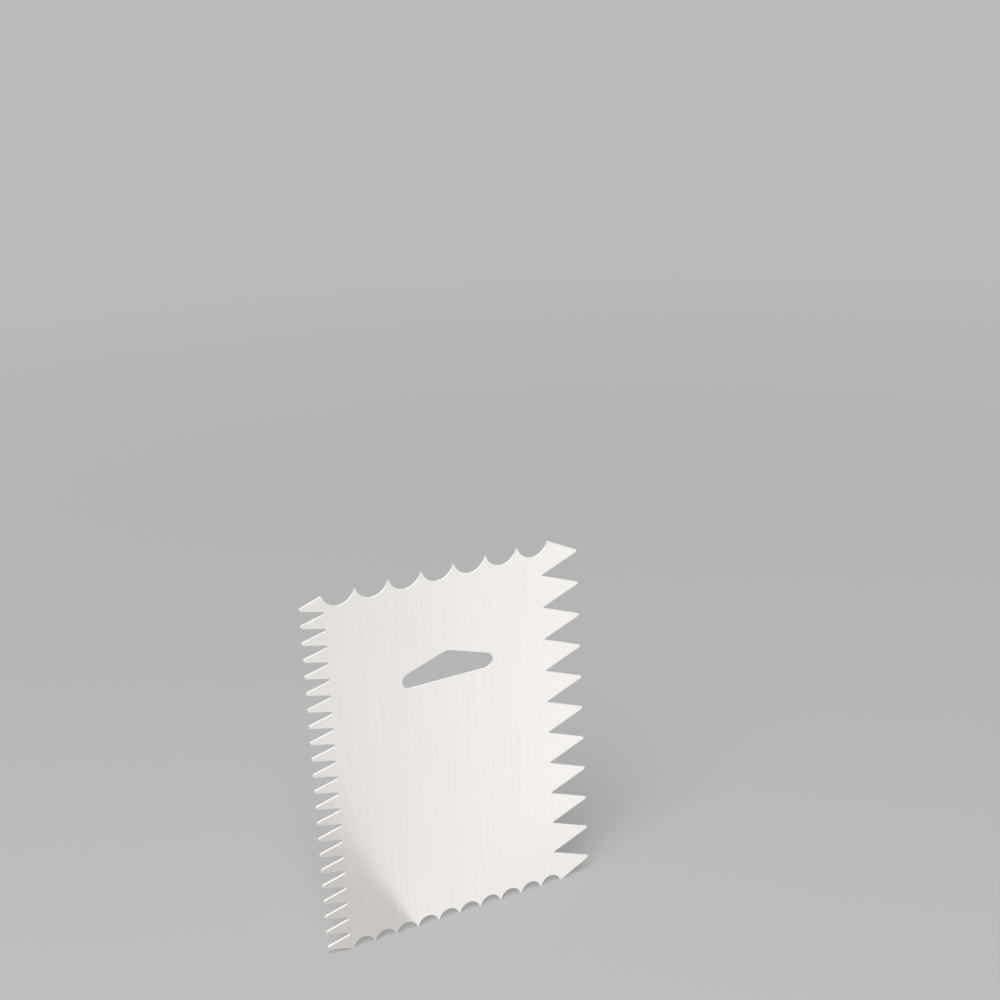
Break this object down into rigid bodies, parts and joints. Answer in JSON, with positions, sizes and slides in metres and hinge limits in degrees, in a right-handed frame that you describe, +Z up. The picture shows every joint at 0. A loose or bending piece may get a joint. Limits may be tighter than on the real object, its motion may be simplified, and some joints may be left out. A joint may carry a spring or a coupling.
{
  "type": "icing smoother",
  "caption": "Flat rectangular steel icing comb and smoother: saw teeth, fine teeth, wide scallops and narrow scallops on its sides, and a gable-shaped hang hole.",
  "frame": {"origin": "peak of the hang hole, halfway through the sheet", "axes": "+Z up towards the scalloped top side, +X towards the coarse teeth, +Y out of the back face"},
  "size_m": [0.1016, 0.0008, 0.127],
  "materials": {
    "polished_steel": "bright polished stainless sheet with a faint fine grain and plain stamped edges"
  },
  "bodies": {
    "root": {"comb_plate": "polished_steel"}
  },
  "joints": []
}
